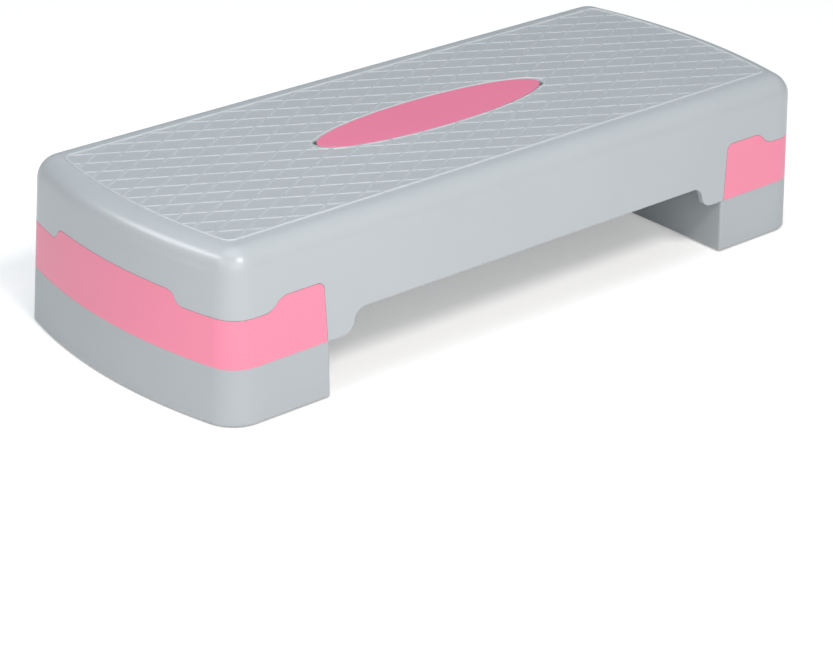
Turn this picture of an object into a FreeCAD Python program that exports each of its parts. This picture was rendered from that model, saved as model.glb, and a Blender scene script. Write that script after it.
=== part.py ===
import FreeCAD, Part
import os
import re

import Sketcher

# Aerobic step: a moulded deck with end skirts, standing on two lift-off risers.
# Millimetres, +Z up, +X along the length. The origin is on the floor under the middle of the deck.

doc = FreeCAD.newDocument("aerobic_step")
sheet = doc.addObject("Spreadsheet::Sheet", "sizes")

DRIVING_SIZES = {
    # Deck: outline at its lower edge, height, and how its walls lean and round over.
    "deck_length": 700,
    "deck_width": 280,
    "deck_height": 98,
    "end_bow": 21,
    "corner_radius": 28,
    "wall_draft_angle": 2.8,
    "top_round": 20,
    "deck_wall": 2.6,
    "tread_plate": 3,
    # Legs on the long sides and the arch between them.
    "leg_width": 16.6,
    "arch_run": 23.4,
    "arch_height": 20,
    # Ribs and posts moulded under the tread.
    "under_rib_wall": 2.2,
    "under_rib_depth": 26,
    "post_clearance": 0.4,
    "post_short": 1,
    "post_bore": 9,
    "gusset_width": 40,
    "gusset_clear": 11,
    # Skirts: the flap on the long side, the corner tab and the raised middle of the end.
    "skirt_wall": 2.2,
    "seam_gap": 0.25,
    "backing_rim": 7,
    "skirt_reach": 116,
    "flap_lean": 2.8,
    "flap_width": 39.5,
    "flap_round": 7,
    "flap_height": 52.5,
    "tab_height": 41.5,
    "swoop_run": 24.5,
    "raise_width": 140,
    "raise_run": 18,
    # Screws: pan heads with a cross recess.
    "head_width": 10,
    "head_height": 2.2,
    "head_round": 1.4,
    "shank_width": 4,
    "shank_point": 1.2,
    "pilot_gap": 0.05,
    "head_room": 0.5,
    "recess_length": 5,
    "recess_width": 1.1,
    "recess_depth": 1.2,
    # Where the screws hold the skirts.
    "skirt_screw_length": 8,
    "skirt_screw_height": 28,
    "end_screw_spacing": 84,
    "skirt_boss": 7,
    "pad_width": 13,
    "pad_rise": 9,
    # Badge let into the tread.
    "badge_length": 256.6,
    "badge_width": 60.2,
    "badge_thick": 1.6,
    "badge_proud": 0.4,
    "badge_edge": 0.4,
    "badge_gap": 0.35,
    "badge_tip_gap": 1,
    "badge_tip_hole": 11,
    "badge_tip_aside": 5,
    "badge_seat_rim": 6,
    "badge_seat_floor": 2.4,
    # Risers: the outer wall and the ribbed frame that drops into it.
    "riser_height": 50,
    "riser_depth": 118,
    "sleeve_wall": 2.6,
    "sleeve_floor": 4,
    "sleeve_edge": 2.5,
    "frame_fit": 0.2,
    "frame_wall": 2.4,
    "frame_floor": 2,
    "frame_drop": 0.4,
    "frame_rib": 2.8,
    "lip_height": 10,
    "lip_clearance": 0.6,
    "lip_wall": 3,
    "cell_step": 20,
    "boss_spacing": 150,
    "boss_share": 0.54,
    "boss_width": 22,
    "boss_foot_width": 16,
    "socket_bore": 15,
    "riser_screw_length": 16,
    # Rubber feet.
    "foot_width": 24,
    "foot_sink": 1.2,
    "foot_proud": 2,
    "foot_edge": 1,
    "foot_inset": 30,
    # How far a cutting shape runs past what it cuts.
    "cut_over": 5,
}
LONG_RIB_STEPS = 2
CROSS_RIB_STEPS = 4

for row, (alias, value) in enumerate(DRIVING_SIZES.items(), 1):
    sheet.set(f"A{row}", alias)
    sheet.set(f"B{row}", str(value))
    sheet.setAlias(f"B{row}", alias)
doc.recompute()

# Places worked out from the sizes.
half_length = "(deck_length / 2)"
half_width = "(deck_width / 2)"
deck_top = "(riser_height + deck_height)"
end_radius = f"(({half_width} ^ 2 + end_bow ^ 2) / (2 * end_bow))"
flap_x = f"({half_length} - skirt_reach)"
tab_z = "(riser_height + tab_height)"
flap_z = "(riser_height + flap_height)"
backing_inset = "(skirt_wall + seam_gap)"
wall_stack = f"({backing_inset} + deck_wall)"
lip_inset = f"({wall_stack} + lip_clearance)"
frame_inset = "(sleeve_wall + frame_fit)"
riser_x = f"({half_length} - riser_depth)"
lip_top = "(riser_height + lip_height)"
frame_z = "(foot_proud + sleeve_floor)"
step_z = f"({lip_top} - cell_step)"
boss_x = f"({half_length} - boss_share * riser_depth)"
boss_y = "(boss_spacing / 2)"
pad_depth = f"({wall_stack} + pad_rise)"
plate_z = f"({deck_top} - tread_plate)"

UP = FreeCAD.Vector(0, 0, 1)
X_AXIS = FreeCAD.Vector(1, 0, 0)
Y_AXIS = FreeCAD.Vector(0, 1, 0)


def in_sheet(text):
    return re.sub(r"[a-z]+(?:_[a-z]+)+", r"sizes.\g<0>", text)


def number(text):
    return float(sheet.evalExpression(in_sheet(text)))


def bind(target, bindings):
    for name, text in bindings.items():
        target.setExpression(name, in_sheet(text))


def place(target, x, y, z):
    bind(target, {"Placement.Base.x": x, "Placement.Base.y": y, "Placement.Base.z": z})


def box(name, x, y, z, length, width, height):
    block = doc.addObject("Part::Box", name)
    bind(block, {"Length": length, "Width": width, "Height": height})
    place(block, x, y, z)
    return block


def cylinder(name, x, y, z, axis, width, height):
    rod = doc.addObject("Part::Cylinder", name)
    rod.Placement = FreeCAD.Placement(FreeCAD.Vector(), FreeCAD.Rotation(UP, axis))
    bind(rod, {"Radius": f"{width} / 2", "Height": height})
    place(rod, x, y, z)
    return rod


def cut(name, base, *tools):
    result = doc.addObject("Part::Cut", name)
    result.Base = base
    result.Tool = tools[0] if len(tools) == 1 else fuse(f"{name}_tools", *tools)
    return result


def fuse(name, *shapes):
    result = doc.addObject("Part::MultiFuse", name)
    result.Shapes = list(shapes)
    return result


def common(name, *shapes):
    result = doc.addObject("Part::MultiCommon", name)
    result.Shapes = list(shapes)
    return result


def mirror(name, source):
    result = doc.addObject("Part::Mirroring", name)
    result.Source = source
    result.Normal = X_AXIS
    return result


def draw(body, name, plane, level, corners):
    """Closed outline. Each corner gives its place and the radius of the edge after it.

    A straight edge has no radius. A radius with a minus sign bends to the right of the way round.
    """
    sketch = body.newObject("Sketcher::SketchObject", name)
    origin_plane = next(part for part in body.Origin.OriginFeatures if part.Role == plane)
    sketch.AttachmentSupport = [(origin_plane, "")]
    sketch.MapMode = "FlatFace"
    bind(sketch, {"AttachmentOffset.Base.z": level})
    points = [FreeCAD.Vector(number(across), number(up), 0) for across, up, radius in corners]
    starts = []
    ends = []
    for index, (across, up, radius) in enumerate(corners):
        here = points[index]
        there = points[(index + 1) % len(points)]
        if radius is None:
            starts.append((sketch.addGeometry(Part.LineSegment(here, there)), 1))
            ends.append((starts[-1][0], 2))
            continue
        bend = number(radius)
        chord = there - here
        left = FreeCAD.Vector(-chord.y, chord.x, 0).normalize()
        sag = (bend ** 2 - (chord.Length / 2) ** 2) ** 0.5
        centre = (here + there) / 2 + left * (sag if bend > 0 else -sag)
        first, last = (here, there) if bend > 0 else (there, here)
        circle = Part.Circle(centre, UP, abs(bend))
        arc = Part.ArcOfCircle(circle, circle.parameter(first), circle.parameter(last))
        edge = sketch.addGeometry(arc)
        starts.append((edge, 1 if bend > 0 else 2))
        ends.append((edge, 2 if bend > 0 else 1))
    for index, (across, up, radius) in enumerate(corners):
        follower = starts[(index + 1) % len(corners)]
        sketch.addConstraint(Sketcher.Constraint("Coincident", *ends[index], *follower))
        for kind, text, axis in (("DistanceX", across, -2), ("DistanceY", up, -1)):
            if text == "0":
                sketch.addConstraint(Sketcher.Constraint("PointOnObject", *starts[index], axis))
                continue
            held = sketch.addConstraint(Sketcher.Constraint(kind, -1, 1, *starts[index], number(text)))
            bind(sketch, {f"Constraints[{held}]": text})
        if radius is not None:
            size = radius.lstrip("-")
            held = sketch.addConstraint(Sketcher.Constraint("Radius", starts[index][0], number(size)))
            bind(sketch, {f"Constraints[{held}]": size})
    return sketch


def pad(body, sketch, length):
    feature = body.newObject("PartDesign::Pad", f"{body.Name}_pad")
    feature.Profile = sketch
    bind(feature, {"Length": length})
    return feature


def flat_edges(feature, height):
    level = number(height)
    near = number("seam_gap")
    return [
        f"Edge{index}"
        for index, edge in enumerate(feature.Shape.Edges, 1)
        if abs(edge.BoundBox.ZMin - level) < near and abs(edge.BoundBox.ZMax - level) < near
    ]


def plan(name, inset, low, high, top_rounding=None):
    """Solid on the deck's plan: straight sides, bowed ends, round corners and leaning walls.

    The inset is measured in from the outside of the deck at the height where it sits on the risers.
    """
    shift = f"({inset} + ({low} - riser_height) * tan(wall_draft_angle))"
    corner_y = f"({half_width} - corner_radius)"
    corner_reach = f"({end_radius} - corner_radius)"
    corner_run = f"sqrt({corner_reach} ^ 2 - {corner_y} ^ 2)"
    bow_centre = f"({half_length} - {end_radius})"
    side_x = f"({bow_centre} + {corner_run})"
    side_y = f"({half_width} - {shift})"
    end_x = f"({bow_centre} + ({end_radius} - {shift}) * {corner_run} / {corner_reach})"
    end_y = f"(({end_radius} - {shift}) * {corner_y} / {corner_reach})"
    corner_bend = f"(corner_radius - {shift})"
    end_bend = f"({end_radius} - {shift})"
    corners = [
        (side_x, f"-{side_y}", corner_bend),
        (end_x, f"-{end_y}", end_bend),
        (end_x, end_y, corner_bend),
        (side_x, side_y, None),
        (f"-{side_x}", side_y, corner_bend),
        (f"-{end_x}", end_y, end_bend),
        (f"-{end_x}", f"-{end_y}", corner_bend),
        (f"-{side_x}", f"-{side_y}", None),
    ]
    body = doc.addObject("PartDesign::Body", name)
    sketch = draw(body, f"{name}_outline", "XY_Plane", low, corners)
    solid = pad(body, sketch, f"{high} - {low}")
    bind(solid, {"TaperAngle": "-wall_draft_angle"})
    if top_rounding:
        doc.recompute()
        rounding = body.newObject("PartDesign::Fillet", f"{name}_rounding")
        rounding.Base = (solid, flat_edges(solid, high))
        bind(rounding, {"Radius": top_rounding})
    return body


def s_bend(run, rise):
    return f"(({run} ^ 2 + {rise} ^ 2) / (4 * {rise}))"


# Pieces of the deck that several parts share.
deck_outside = plan("deck_outside", "0", "riser_height", deck_top, "top_round")
inside_low = "(riser_height - cut_over)"
deck_inside = plan("deck_inside", "deck_wall", inside_low, plate_z, "(top_round - deck_wall)")
backing_face = plan("backing_face", backing_inset, inside_low, plate_z)
backing_inside = plan("backing_inside", wall_stack, inside_low, plate_z)
skirt_inside = plan("skirt_inside", "skirt_wall", inside_low, plate_z)


def skirt_zone(name, gap):
    """The space of the right-hand skirt, grown by a gap on its upper and inner edges."""
    swoop_x = f"({flap_x} + flap_width)"
    tab_x = f"({swoop_x} + swoop_run)"
    rise = "(flap_height - tab_height)"
    middle_z = f"(({tab_z} + {flap_z}) / 2 + {gap})"
    swoop_bend = s_bend("swoop_run", rise)
    far_x = f"({half_length} + cut_over)"
    flap_inner_x = f"({flap_x} + flap_lean - {gap})"
    around_corner = doc.addObject("PartDesign::Body", f"{name}_sides")
    profile = draw(around_corner, f"{name}_side_profile", "XZ_Plane", f"-({half_width} + cut_over)", [
        (far_x, inside_low, None),
        (far_x, f"({tab_z} + {gap})", None),
        (tab_x, f"({tab_z} + {gap})", f"-{swoop_bend}"),
        (f"({swoop_x} + swoop_run / 2)", middle_z, swoop_bend),
        (swoop_x, f"({flap_z} + {gap})", None),
        (f"({flap_inner_x} + flap_round)", f"({flap_z} + {gap})", "flap_round"),
        (flap_inner_x, f"({flap_z} + {gap} - flap_round)", None),
        (f"({flap_x} - {gap})", inside_low, None),
    ])
    pad(around_corner, profile, "deck_width + 2 * cut_over")
    raise_y = "(raise_width / 2)"
    raise_bend = s_bend("raise_run", rise)
    half_run_y = f"({raise_y} + raise_run / 2)"
    foot_y = f"({raise_y} + raise_run)"
    raise_low = "(riser_height + tab_height / 2)"
    raised_end = doc.addObject("PartDesign::Body", f"{name}_end")
    profile = draw(raised_end, f"{name}_end_profile", "YZ_Plane", tab_x, [
        (f"-{foot_y}", raise_low, None),
        (foot_y, raise_low, None),
        (foot_y, f"({tab_z} + {gap})", f"-{raise_bend}"),
        (half_run_y, middle_z, raise_bend),
        (raise_y, f"({flap_z} + {gap})", None),
        (f"-{raise_y}", f"({flap_z} + {gap})", raise_bend),
        (f"-{half_run_y}", middle_z, f"-{raise_bend}"),
        (f"-{foot_y}", f"({tab_z} + {gap})", None),
    ])
    pad(raised_end, profile, f"{far_x} - {tab_x}")
    return fuse(name, around_corner, raised_end)


# Screw places on the right-hand skirt: where each head seats, and the way its shank points.
skirt_screw_z = "(riser_height + skirt_screw_height)"
end_screw_x = f"({half_length} - {pad_depth})"
side_screw_x = f"({flap_x} + (flap_lean + flap_width) / 2)"
side_screw_y = f"({half_width} - {pad_depth})"
SKIRT_SCREWS = {
    "end_front": (end_screw_x, "(-end_screw_spacing / 2)", X_AXIS),
    "end_back": (end_screw_x, "(end_screw_spacing / 2)", X_AXIS),
    "side_front": (side_screw_x, f"-{side_screw_y}", -Y_AXIS),
    "side_back": (side_screw_x, side_screw_y, Y_AXIS),
}


def screw_rods(name, width, start, height):
    """One rod on each screw axis of the right-hand skirt, starting past the seat of the head."""
    rods = []
    for where, (x, y, way) in SKIRT_SCREWS.items():
        rod_x = f"({x} + {start} * {int(way.x)})"
        rod_y = f"({y} + {start} * {int(way.y)})"
        rods.append(cylinder(f"{name}_{where}", rod_x, rod_y, skirt_screw_z, way, width, height))
    return fuse(name, *rods)


# Right-hand skirt: the outer skin of the deck's end, with a hollow boss at each screw.
skirt_skin = common(
    "skirt_skin", cut("skirt_shell", deck_outside, skirt_inside), skirt_zone("skirt_space", "0"))
boss_limit = plan("boss_limit", "(skirt_wall / 2)", inside_low, plate_z)
skirt_bosses = common(
    "skirt_bosses", screw_rods("boss_rods", "skirt_boss", "seam_gap", pad_depth), boss_limit)
skirt_pilots = screw_rods(
    "skirt_pilots", "(shank_width + 2 * pilot_gap)", "-cut_over",
    "(cut_over + skirt_screw_length + pilot_gap)")
right_skirt = cut("right_skirt", fuse("skirt_with_bosses", skirt_skin, skirt_bosses), skirt_pilots)
left_skirt = mirror("left_skirt", right_skirt)

# Deck shell: outer wall and tread, thickened round the skirts, which sit flush in a recess.
deck_walls = cut("deck_walls", deck_outside, deck_inside)
leg_x = f"({flap_x} - leg_width)"
arch_x = f"({leg_x} - arch_run)"
end_block = box(
    "end_block", arch_x, f"-({half_width} + cut_over)", inside_low,
    f"({half_length} + cut_over - {arch_x})", "(deck_width + 2 * cut_over)",
    f"({flap_z} + backing_rim - {inside_low})")
end_wall = common("end_wall", cut("backing_shell", deck_outside, backing_inside), end_block)
pad_limit = plan("pad_limit", f"({backing_inset} + deck_wall / 2)", inside_low, plate_z)
screw_pads = common("screw_pads", screw_rods("pad_rods", "pad_width", "0", pad_depth), pad_limit)
skirt_recess = cut("skirt_recess", skirt_zone("recess_space", "seam_gap"), backing_face)
boss_holes = screw_rods(
    "boss_holes", "(skirt_boss + 2 * seam_gap)", "-cut_over", f"(cut_over + {pad_depth})")
right_end = fuse("right_end", end_wall, screw_pads)
right_end_cuts = fuse("right_end_cuts", skirt_recess, boss_holes)

# Arch between the legs, cut through both long walls.
arch_middle_x = f"({leg_x} - arch_run / 2)"
arch_z = "(riser_height + arch_height)"
arch_middle_z = "(riser_height + arch_height / 2)"
arch_bend = s_bend("arch_run", "arch_height")
arch = doc.addObject("PartDesign::Body", "arch")
arch_profile = draw(arch, "arch_profile", "XZ_Plane", f"-({half_width} + cut_over)", [
    (f"-{leg_x}", inside_low, None),
    (leg_x, inside_low, None),
    (leg_x, "riser_height", f"-{arch_bend}"),
    (arch_middle_x, arch_middle_z, arch_bend),
    (arch_x, arch_z, None),
    (f"-{arch_x}", arch_z, arch_bend),
    (f"-{arch_middle_x}", arch_middle_z, f"-{arch_bend}"),
    (f"-{leg_x}", "riser_height", None),
])
pad(arch, arch_profile, "deck_width + 2 * cut_over")

# Ribs under the tread and the four posts that stand in the risers' sockets.
rib_low = f"({plate_z} - under_rib_depth)"
rib_height = "(under_rib_depth + tread_plate / 2)"
long_ribs = [
    box(f"long_rib_{index}", f"-{half_length}",
        f"({boss_y} * {index} / {LONG_RIB_STEPS} - under_rib_wall / 2)", rib_low,
        "deck_length", "under_rib_wall", rib_height)
    for index in range(-LONG_RIB_STEPS, LONG_RIB_STEPS + 1)
]
cross_ribs = [
    box(f"cross_rib_{index}", f"({boss_x} * {index} / {CROSS_RIB_STEPS} - under_rib_wall / 2)",
        f"-{half_width}", rib_low, "under_rib_wall", "deck_width", rib_height)
    for index in range(-CROSS_RIB_STEPS, CROSS_RIB_STEPS + 1)
]
rib_limit = plan("rib_limit", "(deck_wall / 2)", inside_low, f"({deck_top} - tread_plate / 2)",
                 "(top_round - deck_wall / 2)")
under_ribs = common("under_ribs", fuse("rib_grid", *long_ribs, *cross_ribs), rib_limit)

post_width = "(socket_bore - 2 * post_clearance)"
post_low = "(riser_height + post_short)"
gusset_low = f"({lip_top} + gusset_clear)"
post_height = f"({plate_z} - {post_low})"
gusset_height = f"({rib_low} - {gusset_low} + under_rib_wall)"
posts = []
post_bores = []
for end in (-1, 1):
    for side in (-1, 1):
        x = f"({boss_x} * {end})"
        y = f"({boss_y} * {side})"
        tag = f"{end}_{side}"
        posts.append(cylinder(f"post_{tag}", x, y, post_low, UP, post_width, post_height))
        posts.append(box(f"gusset_long_{tag}", f"({x} - gusset_width / 2)", f"({y} - under_rib_wall / 2)",
                         gusset_low, "gusset_width", "under_rib_wall", gusset_height))
        posts.append(box(f"gusset_cross_{tag}", f"({x} - under_rib_wall / 2)", f"({y} - gusset_width / 2)",
                         gusset_low, "under_rib_wall", "gusset_width", gusset_height))
        post_bores.append(cylinder(f"post_bore_{tag}", x, y, inside_low, UP, "post_bore",
                                   f"({rib_low} - {inside_low})"))


def oval(name, length, width, low, height):
    rim = doc.addObject("Part::Ellipse", f"{name}_rim")
    bind(rim, {"MajorRadius": f"{length} / 2", "MinorRadius": f"{width} / 2"})
    place(rim, "0", "0", low)
    solid = doc.addObject("Part::Extrusion", name)
    solid.Base = rim
    solid.Solid = True
    solid.DirMode = "Custom"
    solid.Dir = UP
    bind(solid, {"LengthFwd": height})
    return solid


# Badge: a thin oval plate in a recess. A round hole beside each tip, half covered by it, opens a slot there.
badge_low = f"({deck_top} + badge_proud - badge_thick)"
badge_plate = oval("badge_plate", "badge_length", "badge_width", badge_low, "badge_thick")
badge_hole_length = "(badge_length + 2 * badge_gap)"
badge_hole_width = "(badge_width + 2 * badge_gap)"
badge_hole_height = "(badge_thick + cut_over)"
badge_hole = oval("badge_hole", badge_hole_length, badge_hole_width, badge_low, badge_hole_height)
badge_floor_low = f"({badge_low} - badge_seat_floor)"
tip_hole_x = "(badge_length / 2 + badge_tip_gap - badge_tip_hole / 2)"
tip_hole_low = f"({badge_floor_low} - cut_over)"
tip_hole_height = f"({deck_top} + cut_over - {tip_hole_low})"
tip_holes = [
    cylinder(f"badge_tip_hole_{end}", f"({tip_hole_x} * {end})", f"(badge_tip_aside * {-end})", tip_hole_low,
             UP, "badge_tip_hole", tip_hole_height)
    for end in (-1, 1)
]
badge_seat = oval(
    "badge_seat", f"({badge_hole_length} + 2 * badge_seat_rim)", f"({badge_hole_width} + 2 * badge_seat_rim)",
    badge_floor_low, f"({deck_top} - tread_plate / 2 - {badge_floor_low})")
doc.recompute()
oval_badge = doc.addObject("Part::Fillet", "oval_badge")
oval_badge.Base = badge_plate
badge_rim = flat_edges(badge_plate, f"({deck_top} + badge_proud)")
badge_edge = number("badge_edge")
oval_badge.Edges = [(int(edge[len("Edge"):]), badge_edge, badge_edge) for edge in badge_rim]

deck_solid = fuse(
    "deck_solid", deck_walls, right_end, mirror("left_end", right_end), under_ribs, badge_seat, *posts)
deck_shell = cut(
    "deck_shell", deck_solid, arch, right_end_cuts, mirror("left_end_cuts", right_end_cuts),
    badge_hole, *tip_holes, *post_bores)


def riser_plan(name, inset, low, high):
    """The right-hand end of the deck's plan, cut off straight at the riser's inner face."""
    inner_x = f"({riser_x} + {inset})"
    keep = box(f"{name}_keep", inner_x, f"-({half_width} + cut_over)", low,
               f"({half_length} + cut_over - {inner_x})", "(deck_width + 2 * cut_over)", f"({high} - {low})")
    return common(name, plan(f"{name}_plan", inset, low, high), keep)


def round_inner_corners(name, base, inset, radius):
    """Rounds the two upright edges where the long sides meet the straight inner face."""
    doc.recompute()
    inner_x = number(f"{riser_x} + {inset}")
    near = number("seam_gap")
    rounding = doc.addObject("Part::Fillet", name)
    rounding.Base = base
    bend = number(radius)
    rounding.Edges = [
        (index, bend, bend)
        for index, edge in enumerate(base.Shape.Edges, 1)
        if abs(edge.BoundBox.XMax - inner_x) < near and edge.BoundBox.ZLength > edge.BoundBox.YLength
    ]
    return rounding


# Riser sleeve: the light outer wall with its floor, recessed below for the feet and the screw heads.
sleeve_block = round_inner_corners(
    "sleeve_block", riser_plan("sleeve_outside", "0", "foot_proud", "riser_height"), "0", "sleeve_edge")
sleeve_inside = riser_plan("sleeve_inside", "sleeve_wall", frame_z, "(riser_height + cut_over)")
foot_places = [
    (x, f"({half_width} - foot_inset) * {side}")
    for x in (f"({riser_x} + foot_inset)", f"({half_length} - end_bow - foot_inset)")
    for side in (-1, 1)
]
boss_places = [(boss_x, f"({boss_y} * {side})") for side in (-1, 1)]
foot_recesses = [
    cylinder(f"foot_recess_{index}", x, y, "(foot_proud - cut_over)", UP,
             "(foot_width + 2 * seam_gap)", "(cut_over + foot_sink)")
    for index, (x, y) in enumerate(foot_places)
]
head_seat_z = "(foot_proud + head_height + pilot_gap)"
head_recesses = [
    cylinder(f"head_recess_{index}", x, y, "(foot_proud - cut_over)", UP, "(head_width + 2 * head_room)",
             f"({head_seat_z} - foot_proud + cut_over)")
    for index, (x, y) in enumerate(boss_places)
]
shank_holes = [
    cylinder(f"shank_hole_{index}", x, y, "foot_proud", UP, "(shank_width + 2 * seam_gap)",
             "(sleeve_floor + cut_over)")
    for index, (x, y) in enumerate(boss_places)
]
right_sleeve = cut(
    "right_riser_sleeve", sleeve_block, sleeve_inside, *foot_recesses, *head_recesses, *shank_holes)
left_sleeve = mirror("left_riser_sleeve", right_sleeve)

# Riser frame: a ribbed tub with a lip that goes up inside the deck, and two sockets for the deck's posts.
frame_block = riser_plan("frame_block", frame_inset, frame_z, "(riser_height - frame_drop)")
lip_block = round_inner_corners(
    "lip_block", riser_plan("lip_outside", lip_inset, step_z, lip_top), lip_inset, "sleeve_edge")
cell_low = f"({frame_z} + frame_floor)"
lower_cell = riser_plan("lower_cell", f"({frame_inset} + frame_wall)", cell_low, step_z)
upper_cell = riser_plan("upper_cell", f"({lip_inset} + lip_wall)", step_z, f"({lip_top} + cut_over)")
frame_tub = cut("frame_tub", fuse("frame_outside", frame_block, lip_block), lower_cell, upper_cell)
rib_bottom = f"({cell_low} - frame_floor / 2)"
rib_rise = f"({lip_top} - {rib_bottom})"
frame_ribs = [
    box("frame_long_rib", f"({boss_x} - frame_rib / 2)", f"-{half_width}", rib_bottom,
        "frame_rib", "deck_width", rib_rise)
]
for index in (-1, 0, 1):
    frame_ribs.append(
        box(f"frame_cross_rib_{index}", riser_x, f"({boss_y} * {index} - frame_rib / 2)", rib_bottom,
            "riser_depth", "frame_rib", rib_rise))
rib_room = riser_plan("rib_room", f"({lip_inset} + lip_wall / 2)", frame_z, f"({lip_top} + cut_over)")
frame_web = common("frame_web", fuse("frame_rib_grid", *frame_ribs), rib_room)
boss_parts = []
boss_cuts = []
for index, (x, y) in enumerate(boss_places):
    boss_parts.append(cylinder(f"boss_{index}", x, y, step_z, UP, "boss_width", "cell_step"))
    boss_parts.append(cylinder(f"boss_foot_{index}", x, y, rib_bottom, UP, "boss_foot_width",
                               f"({step_z} - {rib_bottom})"))
    boss_cuts.append(cylinder(f"socket_{index}", x, y, step_z, UP, "socket_bore", "(cell_step + cut_over)"))
    boss_cuts.append(cylinder(f"boss_pilot_{index}", x, y, "foot_proud", UP, "(shank_width + 2 * pilot_gap)",
                              f"({head_seat_z} - foot_proud + riser_screw_length + pilot_gap)"))
right_frame = cut("right_riser_frame", fuse("frame_solid", frame_tub, frame_web, *boss_parts), *boss_cuts)
left_frame = mirror("left_riser_frame", right_frame)


def revolve(body, profile):
    turned = body.newObject("PartDesign::Revolution", f"{body.Name}_turned")
    turned.Profile = profile
    turned.ReferenceAxis = (profile, ["V_Axis"])
    turned.Angle = 360
    return turned


def screw(label, length, x, y, z, way):
    """Pan-head screw whose head seats at the given place, with the shank pointing the given way."""
    body = doc.addObject("PartDesign::Body", label)
    profile = draw(body, f"{label}_profile", "XZ_Plane", "0", [
        ("0", f"-{length}", None),
        ("(shank_width / 2 - shank_point)", f"-{length}", None),
        ("(shank_width / 2)", f"-({length} - shank_point)", None),
        ("(shank_width / 2)", "0", None),
        ("(head_width / 2)", "0", None),
        ("(head_width / 2)", "(head_height - head_round)", "head_round"),
        ("(head_width / 2 - head_round)", "head_height", None),
        ("0", "head_height", None),
    ])
    revolve(body, profile)
    doc.recompute()
    arm = "(recess_length / 2)"
    half = "(recess_width / 2)"
    cross = [(arm, half), (half, half), (half, arm)]
    outline = []
    for across, up in ((1, 1), (-1, 1), (-1, -1), (1, -1)):
        quarter = cross if across * up > 0 else cross[::-1]
        outline += [(f"{a} * {across}", f"{b} * {up}", None) for a, b in quarter]
    recess = body.newObject("PartDesign::Pocket", f"{label}_recess")
    recess.Profile = draw(body, f"{label}_recess_outline", "XY_Plane", "head_height", outline)
    bind(recess, {"Length": "recess_depth"})
    body.Tip = recess
    body.Placement = FreeCAD.Placement(FreeCAD.Vector(), FreeCAD.Rotation(-UP, way))
    place(body, x, y, z)
    return body


def rubber_foot(label, x, y):
    body = doc.addObject("PartDesign::Body", label)
    profile = draw(body, f"{label}_profile", "XZ_Plane", "0", [
        ("0", "0", None),
        ("(foot_width / 2 - foot_edge)", "0", "foot_edge"),
        ("(foot_width / 2)", "foot_edge", None),
        ("(foot_width / 2)", "(foot_proud + foot_sink)", None),
        ("0", "(foot_proud + foot_sink)", None),
    ])
    revolve(body, profile)
    place(body, x, y, "0")
    return body


# Screws and feet, at both ends.
nodes = [
    deck_shell, oval_badge, left_skirt, right_skirt, left_sleeve, right_sleeve, left_frame, right_frame]
FOOT_NAMES = ("inner_front", "inner_back", "outer_front", "outer_back")
for side_name, side in (("left", -1), ("right", 1)):
    for where, (x, y, way) in SKIRT_SCREWS.items():
        way_here = FreeCAD.Vector(way.x * side, way.y, 0)
        nodes.append(screw(f"{side_name}_skirt_screw_{where}", "skirt_screw_length", f"{x} * {side}", y,
                           skirt_screw_z, way_here))
    for where, (x, y) in zip(("front", "back"), boss_places):
        nodes.append(screw(f"{side_name}_riser_screw_{where}", "riser_screw_length", f"{x} * {side}", y,
                           head_seat_z, UP))
    for where, (x, y) in zip(FOOT_NAMES, foot_places):
        nodes.append(rubber_foot(f"{side_name}_foot_{where}", f"{x} * {side}", y))

doc.recompute()
failed = [thing.Name for thing in doc.Objects if {"Invalid", "Error"} & set(thing.State)]
if failed:
    raise RuntimeError(f"features that failed: {failed}")
for node in nodes:
    if node.Shape.isNull() or not node.Shape.isValid() or len(node.Shape.Solids) != 1:
        raise RuntimeError(f"{node.Label}: {len(node.Shape.Solids)} solids, valid {node.Shape.isValid()}")
os.makedirs("parts", exist_ok=True)
for node in nodes:
    node.Shape.exportStep(f"parts/{node.Label}.step")
    print(f"{node.Label}: {node.Shape.Volume:.0f} mm3")
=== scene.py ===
import math

import bmesh
import bpy
from mathutils import Matrix, Quaternion, Vector


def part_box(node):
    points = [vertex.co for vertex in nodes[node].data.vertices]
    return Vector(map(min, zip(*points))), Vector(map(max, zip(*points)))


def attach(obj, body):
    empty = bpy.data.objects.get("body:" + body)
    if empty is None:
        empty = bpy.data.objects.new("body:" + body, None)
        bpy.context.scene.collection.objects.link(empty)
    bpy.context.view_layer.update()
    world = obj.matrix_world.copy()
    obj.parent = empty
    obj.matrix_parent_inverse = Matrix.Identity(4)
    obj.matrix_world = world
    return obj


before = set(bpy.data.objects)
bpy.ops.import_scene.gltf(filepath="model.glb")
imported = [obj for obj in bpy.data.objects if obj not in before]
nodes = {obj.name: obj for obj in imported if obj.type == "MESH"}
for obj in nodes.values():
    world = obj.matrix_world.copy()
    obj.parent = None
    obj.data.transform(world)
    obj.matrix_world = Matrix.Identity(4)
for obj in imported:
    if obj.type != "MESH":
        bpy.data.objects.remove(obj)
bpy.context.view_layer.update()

# Rubber feet. Soft black rubber pucks pressed into shallow recesses under the risers.
# Moulded matt, a little dusty, with a fine pebble grain that grips the floor.
MM = 0.001


def linear(hex_colour):
    """The linear colour of an sRGB hex value."""
    channels = [int(hex_colour[start:start + 2], 16) / 255 for start in (1, 3, 5)]
    return [*(c / 12.92 if c <= 0.04045 else ((c + 0.055) / 1.055) ** 2.4 for c in channels), 1]


def add(material, kind, inputs=None, **settings):
    """Adds a node with its settings. Each input is a value or the output that feeds it."""
    tree = material.node_tree
    node = tree.nodes.new(kind)
    for name, value in settings.items():
        setattr(node, name, value)
    for socket, value in (inputs or {}).items():
        if isinstance(value, bpy.types.NodeSocket):
            tree.links.new(value, node.inputs[socket])
        else:
            node.inputs[socket].default_value = value
    return node


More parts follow.
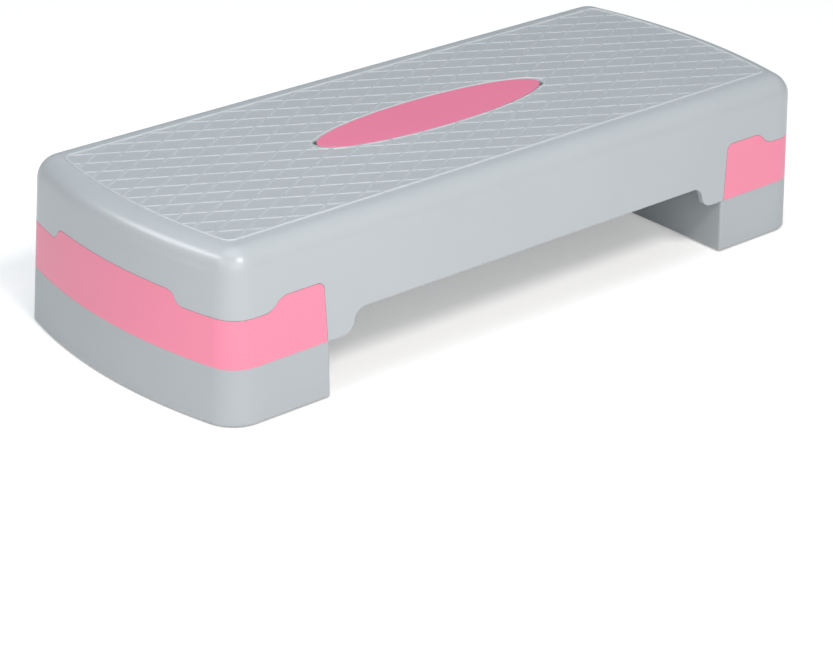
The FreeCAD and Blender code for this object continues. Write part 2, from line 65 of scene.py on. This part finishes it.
def new_material(name):
    """A material with no node yet."""
    material = bpy.data.materials.new(name)
    material.use_nodes = True
    material.node_tree.nodes.clear()
    return material


def surface(material, inputs):
    """Closes a material with its shader."""
    shader = add(material, "ShaderNodeBsdfPrincipled", inputs)
    add(material, "ShaderNodeOutputMaterial", {"Surface": shader.outputs["BSDF"]})


def dress(names, material):
    """Gives pieces of the frame their material."""
    for name in names:
        for slot in nodes[name].material_slots:
            slot.material = material


RUBBER_PEBBLE = 0.8 * MM
RUBBER_PEBBLE_HEIGHT = 0.15 * MM
RUBBER_DUST = 9 * MM
rubber = new_material("moulded_rubber")
place = add(rubber, "ShaderNodeTexCoord").outputs["Object"]
dust = add(rubber, "ShaderNodeTexNoise", {"Vector": place, "Scale": 1 / RUBBER_DUST, "Detail": 4})
pebbles = add(rubber, "ShaderNodeTexVoronoi", {"Vector": place, "Scale": 1 / RUBBER_PEBBLE})
tone = add(rubber, "ShaderNodeMix", {
    "Factor": dust.outputs["Fac"], "A": linear("#232426"), "B": linear("#3f4143")}, data_type="RGBA")
grain = add(rubber, "ShaderNodeBump", {
    "Height": pebbles.outputs["Distance"], "Strength": 0.4, "Distance": RUBBER_PEBBLE_HEIGHT})
surface(rubber, {
    "Base Color": tone.outputs["Result"], "Roughness": 0.78, "IOR": 1.52,
    "Normal": grain.outputs["Normal"]})
dress([name for name in nodes if "_foot_" in name], rubber)

# Riser sleeves. Light grey polypropylene walls with a floor, one under each end of the deck.
# Injection moulded, so the faces are satin with a spark-eroded grain. The edges are painted paler, a
# painted highlight.
ENDS = ("left", "right")


def moulded_plastic(name, colour, shaded, edge, roughness, grain_height, edge_round):
    """Satin plastic: tone drifts, a fine mould grain, painted highlights on rounded edges, painted shade
    in narrow gaps.
    """
    drift_size = 110 * MM
    scuff_size = 26 * MM
    # The real grain is about 0.1 mm. It is drawn coarser, so that it shows.
    grain_size = 0.7 * MM
    gap_reach = 12 * MM
    sheen_spread = 0.01
    material = new_material(name)
    place = add(material, "ShaderNodeTexCoord").outputs["Object"]
    drift = add(material, "ShaderNodeTexNoise", {"Vector": place, "Scale": 1 / drift_size, "Detail": 2})
    scuffs = add(material, "ShaderNodeTexNoise", {
        "Vector": place, "Scale": 1 / scuff_size, "Detail": 3, "Roughness": 0.5})
    grain = add(material, "ShaderNodeTexNoise", {"Vector": place, "Scale": 1 / grain_size, "Detail": 3})
    tone = add(material, "ShaderNodeMix", {
        "Factor": drift.outputs["Fac"], "A": linear(shaded), "B": linear(colour)}, data_type="RGBA")
    rounded = add(material, "ShaderNodeBevel", {"Radius": edge_round}, samples=6)
    flat = add(material, "ShaderNodeNewGeometry").outputs["Normal"]
    turned = add(material, "ShaderNodeVectorMath", {
        0: rounded.outputs["Normal"], 1: flat}, operation="DOT_PRODUCT")
    # Painted highlight: where the rounded normal leans away from the flat one, the colour turns paler,
    # towards the edge colour.
    rim = add(material, "ShaderNodeMapRange", {
        "Value": turned.outputs["Value"], "From Min": 1, "From Max": 0.72, "To Min": 0, "To Max": 0.55})
    edge_highlighted = add(material, "ShaderNodeMix", {
        "Factor": rim.outputs["Result"], "A": tone.outputs["Result"], "B": linear(edge)}, data_type="RGBA")
    # Painted shade: where occlusion finds a narrow gap or crevice, the colour darkens towards near black.
    narrow = add(material, "ShaderNodeAmbientOcclusion", {"Distance": gap_reach}, samples=8)
    unshaded = add(material, "ShaderNodeMapRange", {
        "Value": narrow.outputs["AO"], "From Min": 0.2, "From Max": 0.5})
    gap_shaded = add(material, "ShaderNodeMix", {
        "Factor": unshaded.outputs["Result"], "A": linear("#1d171b"), "B": edge_highlighted.outputs["Result"]},
        data_type="RGBA")
    sheen = add(material, "ShaderNodeMapRange", {
        "Value": scuffs.outputs["Fac"], "From Min": 0.3, "From Max": 0.7,
        "To Min": roughness - sheen_spread, "To Max": roughness + sheen_spread})
    bump = add(material, "ShaderNodeBump", {
        "Height": grain.outputs["Fac"], "Strength": 0.35, "Distance": grain_height,
        "Normal": rounded.outputs["Normal"]})
    surface(material, {
        "Base Color": gap_shaded.outputs["Result"], "Roughness": sheen.outputs["Result"], "IOR": 1.49,
        "Normal": bump.outputs["Normal"]})
    return material


sleeve_plastic = moulded_plastic(
    "light_grey_polypropylene", colour="#b6bdc1", shaded="#acb4b8", edge="#c9ced1",
    roughness=0.46, grain_height=0.05 * MM, edge_round=0.8 * MM)
dress([f"{end}_riser_sleeve" for end in ENDS], sleeve_plastic)

# Ribbed frames. Darker grey polypropylene tubs that drop into the sleeves, with a lip and two sockets.
# Moulded in one with their ribs, and left rougher than the walls that show.
frame_plastic = moulded_plastic(
    "dark_grey_polypropylene", colour="#9ca4a8", shaded="#91989d", edge="#bac1c4",
    roughness=0.50, grain_height=0.06 * MM, edge_round=0.6 * MM)
dress([f"{end}_riser_frame" for end in ENDS], frame_plastic)

# Screws. Pan heads with a cross recess, of steel with a bright zinc plating.
# They hold the frames in the sleeves from below and the skirts from inside the deck.
# The plating is bright but cloudy, with shallow pits.
ZINC_MOTTLE = 1.6 * MM
ZINC_PIT_DEPTH = 0.05 * MM
zinc = new_material("zinc_plated_steel")
place = add(zinc, "ShaderNodeTexCoord").outputs["Object"]
mottle = add(zinc, "ShaderNodeTexNoise", {"Vector": place, "Scale": 1 / ZINC_MOTTLE, "Detail": 5})
tone = add(zinc, "ShaderNodeMix", {
    "Factor": mottle.outputs["Fac"], "A": linear("#a4a7ab"), "B": linear("#d3d5d4")}, data_type="RGBA")
haze = add(zinc, "ShaderNodeMapRange", {"Value": mottle.outputs["Fac"], "To Min": 0.22, "To Max": 0.46})
pits = add(zinc, "ShaderNodeBump", {
    "Height": mottle.outputs["Fac"], "Strength": 0.2, "Distance": ZINC_PIT_DEPTH})
surface(zinc, {
    "Base Color": tone.outputs["Result"], "Metallic": 1, "Roughness": haze.outputs["Result"],
    "Normal": pits.outputs["Normal"]})
dress([name for name in nodes if "_screw_" in name], zinc)

# Deck shell. One large moulding of grey polypropylene: tread, shoulders, walls, ribs and posts.
# It stands on both risers and carries every piece that follows.
# Its smooth mould leaves a satin that draws soft streaks of light along the shoulders.
deck_plastic = moulded_plastic(
    "satin_grey_polypropylene", colour="#bac1c5", shaded="#b4bbbf", edge="#cfd4d7",
    roughness=0.30, grain_height=0.05 * MM, edge_round=0.8 * MM)
dress(["deck_shell"], deck_plastic)

# Tread pattern. Low ribs in a lattice of rhombuses, with a bead round the tread and one round the badge.
# They are moulded with the deck, in the same plastic, and have rounded tops. Shoes have dulled the ribs.
# The ribs and, still more, the higher beads are painted paler than the deck, a painted highlight.
DECK_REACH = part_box("deck_shell")[1]
TREAD_TOP = DECK_REACH.z
RIB_HEIGHT = 0.65 * MM
RIB_SINK = 0.3 * MM
RIB_WIDTH = 2.9 * MM
RIB_ROUND = 0.6 * MM
CELL_LENGTH = 40.8 * MM
CELL_WIDTH = 22.1 * MM
BEAD_WIDTH = 2.4 * MM
BEAD_HEIGHT = 1.1 * MM
BEAD_ROUND_SHARE = 0.44
COLLAR_WIDTH = 2.0 * MM
COLLAR_HEIGHT = 0.7 * MM
COLLAR_END_GAP = 5.0 * MM
COLLAR_SIDE_GAP = 0.7 * MM
OVAL_STEPS = 160
OVAL_HALVINGS = 6
BORDER_END_MARGIN = 24.08 * MM
BORDER_SIDE_MARGIN = 29.7 * MM
BORDER_HALF_LENGTH = DECK_REACH.x - BORDER_END_MARGIN
BORDER_HALF_WIDTH = DECK_REACH.y - BORDER_SIDE_MARGIN
BORDER_BOW = 12 * MM
BORDER_CORNER = 9 * MM
BORDER_STEPS = 12
SHARP_EDGE = math.radians(40)
UPRIGHT = 0.5
# The ribs are a touch paler than the deck: a painted highlight on them.
tread_plastic = moulded_plastic(
    "rib_grey_polypropylene", colour="#bdc4c8", shaded="#b8bfc3", edge="#c6ccd0",
    roughness=0.40, grain_height=0.03 * MM, edge_round=0.2 * MM)
# The beads are paler still: a painted highlight along their crests.
bead_plastic = moulded_plastic(
    "painted_highlight_grey_polypropylene", colour="#c9cfd3", shaded="#c4cbce", edge="#d3d8db",
    roughness=0.36, grain_height=0.03 * MM, edge_round=0.2 * MM)


def border_planes(inset):
    """Points and outward directions of the planes that cut a mesh to the tread's outline."""
    bow_radius = (BORDER_HALF_WIDTH ** 2 + BORDER_BOW ** 2) / (2 * BORDER_BOW)
    reach = bow_radius - BORDER_CORNER
    corner_y = BORDER_HALF_WIDTH - BORDER_CORNER
    bow_x = BORDER_HALF_LENGTH - bow_radius
    corner_x = bow_x + math.sqrt(reach ** 2 - corner_y ** 2)
    corner_angle = math.asin(corner_y / reach)
    planes = []
    for step in range(-BORDER_STEPS, BORDER_STEPS + 1):
        angle = corner_angle * step / BORDER_STEPS
        planes.append((bow_x, 0, bow_radius, angle))
    for step in range(1, BORDER_STEPS):
        angle = corner_angle + (math.pi / 2 - corner_angle) * step / BORDER_STEPS
        planes.append((corner_x, corner_y, BORDER_CORNER, angle))
        planes.append((corner_x, -corner_y, BORDER_CORNER, -angle))
    planes.append((0, 0, BORDER_HALF_WIDTH, math.pi / 2))
    planes.append((0, 0, BORDER_HALF_WIDTH, -math.pi / 2))
    for x, y, radius, angle in planes:
        for side in (-1, 1):
            way = Vector((side * math.cos(angle), math.sin(angle), 0))
            yield Vector((side * x, y, 0)) + way * (radius - inset), way


def cut_to_border(mesh, inset):
    """Takes away what lies outside the tread's outline."""
    for point, way in border_planes(inset):
        parts = [*mesh.verts, *mesh.edges, *mesh.faces]
        bmesh.ops.bisect_plane(mesh, geom=parts, plane_co=point, plane_no=way, clear_outer=True)


def raise_ribs(mesh, height, rounding):
    """Gives flat strips their height, sunk a little into the tread, and rounds their tops."""
    bmesh.ops.translate(mesh, verts=mesh.verts, vec=(0, 0, TREAD_TOP - RIB_SINK))
    grown = bmesh.ops.extrude_face_region(mesh, geom=mesh.faces[:], use_keep_orig=True)
    tops = [part for part in grown["geom"] if isinstance(part, bmesh.types.BMVert)]
    bmesh.ops.translate(mesh, verts=tops, vec=(0, 0, RIB_SINK + height))
    bmesh.ops.recalc_face_normals(mesh, faces=mesh.faces)
    top = TREAD_TOP + height
    rims = [
        edge for edge in mesh.edges
        if all(abs(vert.co.z - top) < RIB_SINK for vert in edge.verts)
        and any(abs(face.normal.z) < UPRIGHT for face in edge.link_faces)]
    bmesh.ops.bevel(mesh, geom=rims, offset=rounding, segments=4, profile=0.5, affect="EDGES", material=-1)


def finish_piece(name, mesh, material, body):
    """Makes a mesh an object with its material, which goes along with a body."""
    data = bpy.data.meshes.new(name)
    mesh.to_mesh(data)
    mesh.free()
    data.materials.append(material)
    data.set_sharp_from_angle(angle=SHARP_EDGE)
    piece = bpy.data.objects.new(name, data)
    bpy.context.scene.collection.objects.link(piece)
    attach(piece, body)


rib_ways = [Vector((CELL_WIDTH * side, CELL_LENGTH, 0)).normalized() for side in (-1, 1)]
rib_spacing = CELL_LENGTH * CELL_WIDTH / math.hypot(CELL_LENGTH, CELL_WIDTH)
rib_count = math.ceil(BORDER_HALF_LENGTH / rib_spacing)
lattice = bmesh.new()
bmesh.ops.create_grid(
    lattice, x_segments=1, y_segments=1, size=1,
    matrix=Matrix.Diagonal((BORDER_HALF_LENGTH + CELL_LENGTH, BORDER_HALF_WIDTH + CELL_WIDTH, 1, 1)))
for way in rib_ways:
    for index in range(-rib_count, rib_count):
        for edge in (-1, 1):
            offset = (index + 0.5) * rib_spacing + edge * RIB_WIDTH / 2
            parts = [*lattice.verts, *lattice.edges, *lattice.faces]
            bmesh.ops.bisect_plane(lattice, geom=parts, plane_co=way * offset, plane_no=way)


def off_ribs(face):
    """True for a face in the hollow of a rhombus."""
    middle = face.calc_center_median()
    away = [abs((middle.dot(way) / rib_spacing) % 1 - 0.5) * rib_spacing for way in rib_ways]
    return min(away) > RIB_WIDTH / 2


def oval_reach(margin):
    """Half the length and half the width of an oval round the badge, with a wider margin at its tips."""
    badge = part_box("oval_badge")[1]
    return badge.x + COLLAR_END_GAP + margin, badge.y + COLLAR_SIDE_GAP + margin


def cut_out_oval(mesh, margin):
    """Takes away what lies inside an oval round the badge, by flat cuts along its rim."""
    half_length, half_width = oval_reach(margin)
    inside = mesh.faces[:]
    # Opposite cuts come first, then those halfway between, so that few ribs are cut twice.
    cuts = 2 ** OVAL_HALVINGS
    for step in sorted(range(cuts), key=lambda step: f"{step:0{OVAL_HALVINGS}b}"[::-1]):
        angle = math.tau * step / cuts
        point = Vector((half_length * math.cos(angle), half_width * math.sin(angle), 0))
        way = Vector((half_width * math.cos(angle), half_length * math.sin(angle), 0)).normalized()
        verts = dict.fromkeys(vert for face in inside for vert in face.verts)
        edges = dict.fromkeys(edge for face in inside for edge in face.edges)
        parts = [*verts, *edges, *inside]
        parts = bmesh.ops.bisect_plane(mesh, geom=parts, plane_co=point, plane_no=way)["geom"]
        inside = [
            part for part in parts
            if isinstance(part, bmesh.types.BMFace) and way.dot(part.calc_center_median() - point) < 0]
    bmesh.ops.delete(mesh, geom=inside, context="FACES")


bmesh.ops.delete(lattice, geom=[face for face in lattice.faces if off_ribs(face)], context="FACES")
raise_ribs(lattice, RIB_HEIGHT, RIB_ROUND)
cut_to_border(lattice, 0)
cut_out_oval(lattice, COLLAR_WIDTH / 2)
bmesh.ops.holes_fill(lattice, edges=[edge for edge in lattice.edges if edge.is_boundary], sides=0)
bmesh.ops.recalc_face_normals(lattice, faces=lattice.faces)
finish_piece("tread_lattice", lattice, tread_plastic, "platform")


def oval_sheet(margin):
    """A flat oval round the badge."""
    sheet = bmesh.new()
    bmesh.ops.create_circle(sheet, cap_ends=True, segments=OVAL_STEPS, radius=1)
    bmesh.ops.scale(sheet, verts=sheet.verts, vec=(*oval_reach(margin), 1))
    return sheet


def bead_round(name, sheet, width, height):
    """Keeps a strip along the rim of a flat sheet and raises it as a bead."""
    strip = bmesh.ops.inset_region(
        sheet, faces=sheet.faces[:], thickness=width, use_even_offset=True, use_boundary=True)["faces"]
    bmesh.ops.delete(sheet, geom=[face for face in sheet.faces if face not in strip], context="FACES")
    raise_ribs(sheet, height, BEAD_ROUND_SHARE * width)
    finish_piece(name, sheet, bead_plastic, "platform")


border_sheet = bmesh.new()
bmesh.ops.create_grid(border_sheet, x_segments=1, y_segments=1, size=BORDER_HALF_LENGTH + BEAD_WIDTH)
cut_to_border(border_sheet, -BEAD_WIDTH / 2)
bead_round("tread_border", border_sheet, BEAD_WIDTH, BEAD_HEIGHT)
bead_round("badge_collar", oval_sheet(COLLAR_WIDTH), COLLAR_WIDTH, COLLAR_HEIGHT)

# Oval badge. A thin pink ABS plate that lies in a seat in the middle of the tread.
# Moulded smooth, so its colour lies even under a soft sheen.
badge_plastic = moulded_plastic(
    "smooth_pink_abs", colour="#f086a7", shaded="#ec81a3", edge="#f6a0b9",
    roughness=0.33, grain_height=0.02 * MM, edge_round=0.5 * MM)
dress(["oval_badge"], badge_plastic)

# End skirts. Pink polypropylene covers that wrap each end and both its corners.
# They lie flush in a recess of the deck and are screwed on from inside.
# Their mould grain leaves them a little duller than the deck.
skirt_plastic = moulded_plastic(
    "pink_polypropylene", colour="#f890ac", shaded="#f58ca8", edge="#fcabc1",
    roughness=0.40, grain_height=0.05 * MM, edge_round=0.6 * MM)
dress([f"{end}_skirt" for end in ENDS], skirt_plastic)

# Floor. A plain white studio floor, painted matt, that shows the step's own shadow.
# It glows a little to the camera and in reflections, so that it is seen white.
FLOOR_SIZE = 30
FLOOR_GLOW = 0.33
sheet = bmesh.new()
bmesh.ops.create_grid(sheet, x_segments=1, y_segments=1, size=FLOOR_SIZE / 2)
data = bpy.data.meshes.new("studio_floor")
sheet.to_mesh(data)
sheet.free()
floor_paint = new_material("white_studio_floor")
rays = add(floor_paint, "ShaderNodeLightPath").outputs
seen = rays["Is Camera Ray"]
for kind in ("Is Glossy Ray", "Is Transmission Ray"):
    seen = add(floor_paint, "ShaderNodeMath", {0: seen, 1: rays[kind]}, operation="ADD").outputs["Value"]
glow = add(floor_paint, "ShaderNodeMath", {0: seen, 1: FLOOR_GLOW}, operation="MULTIPLY")
surface(floor_paint, {
    "Base Color": linear("#f4f5f5"), "Roughness": 1, "Specular IOR Level": 0,
    "Emission Color": (1, 1, 1, 1), "Emission Strength": glow.outputs["Value"]})
data.materials.append(floor_paint)
floor = bpy.data.objects.new("studio_floor", data)
bpy.context.scene.collection.objects.link(floor)

# Light. A white room with soft boxes in front, on the left and overhead.
# A narrow one behind on the left shows only in reflections, and draws the streak along the near shoulder.
scene = bpy.context.scene
world = bpy.data.worlds.new("white_room")
scene.world = world
world.use_nodes = True
room = world.node_tree.nodes["Background"].inputs
room["Color"].default_value = linear("#f4faff")
room["Strength"].default_value = 0.2
# Each has its place, its width and height, its power, its tint and its roll in degrees.
SOFT_BOXES = {
    "front": ((-0.95, -1.5, 0.85), (1.2, 1.2), 10, "#fff9f5", 0),
    "front_left": ((-0.45, -2.1, 2.65), (0.9, 0.9), 52, "#fffaf7", 0),
    "left": ((-1.85, -0.1, 1.3), (1.2, 1.2), 5.5, "#fff9f7", 0),
    "streak": ((-1.72, 1.17, 1.63), (1.4, 0.46), 20, "#f9fdff", 26),
    "overhead": ((-0.3, 0.2, 2.8), (2.4, 2.4), 29, "#f1faff", 0),
}
aim = Vector((0, 0, 100 * MM))
for name, (spot, (width, height), power, tint, roll) in SOFT_BOXES.items():
    lamp = bpy.data.lights.new(f"soft_box_{name}", "AREA")
    lamp.shape = "ELLIPSE"
    lamp.size = width
    lamp.size_y = height
    lamp.energy = power
    lamp.color = linear(tint)[:3]
    soft_box = bpy.data.objects.new(lamp.name, lamp)
    soft_box.location = spot
    soft_box.visible_diffuse = name != "streak"
    facing = (aim - Vector(spot)).to_track_quat("-Z", "Y") @ Quaternion((0, 0, 1), math.radians(roll))
    soft_box.rotation_euler = facing.to_euler()
    scene.collection.objects.link(soft_box)

# Camera. A long lens in front on the left, above the deck and turned a little.
# Its place, in radians and metres, was worked out from the deck's edges in the photograph.
CAMERA_YAW = 0.74505
CAMERA_PITCH = 0.44719
CAMERA_ROLL = 0.03261
CAMERA_BACK = 2.4012
CAMERA_ASIDE = -0.01008
CAMERA_LOWER = -0.09811
CAMERA_LENS = 117.0
deck_low = Vector((0, 0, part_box("deck_shell")[0].z))
forward = Vector((
    math.sin(CAMERA_YAW) * math.cos(CAMERA_PITCH), math.cos(CAMERA_YAW) * math.cos(CAMERA_PITCH),
    -math.sin(CAMERA_PITCH)))
level_right = Vector((math.cos(CAMERA_YAW), -math.sin(CAMERA_YAW), 0))
level_up = level_right.cross(forward)
right = level_right * math.cos(CAMERA_ROLL) + level_up * math.sin(CAMERA_ROLL)
up = level_up * math.cos(CAMERA_ROLL) - level_right * math.sin(CAMERA_ROLL)
turn = Matrix((right, up, -forward)).transposed()
camera_data = bpy.data.cameras.new("camera")
camera_data.lens = CAMERA_LENS
camera_data.sensor_fit = "HORIZONTAL"
camera = bpy.data.objects.new("camera", camera_data)
camera.matrix_world = Matrix.Translation(
    deck_low - forward * CAMERA_BACK + right * CAMERA_ASIDE + up * CAMERA_LOWER) @ turn.to_4x4()
scene.collection.objects.link(camera)
scene.camera = camera
scene.view_settings.view_transform = "Standard"
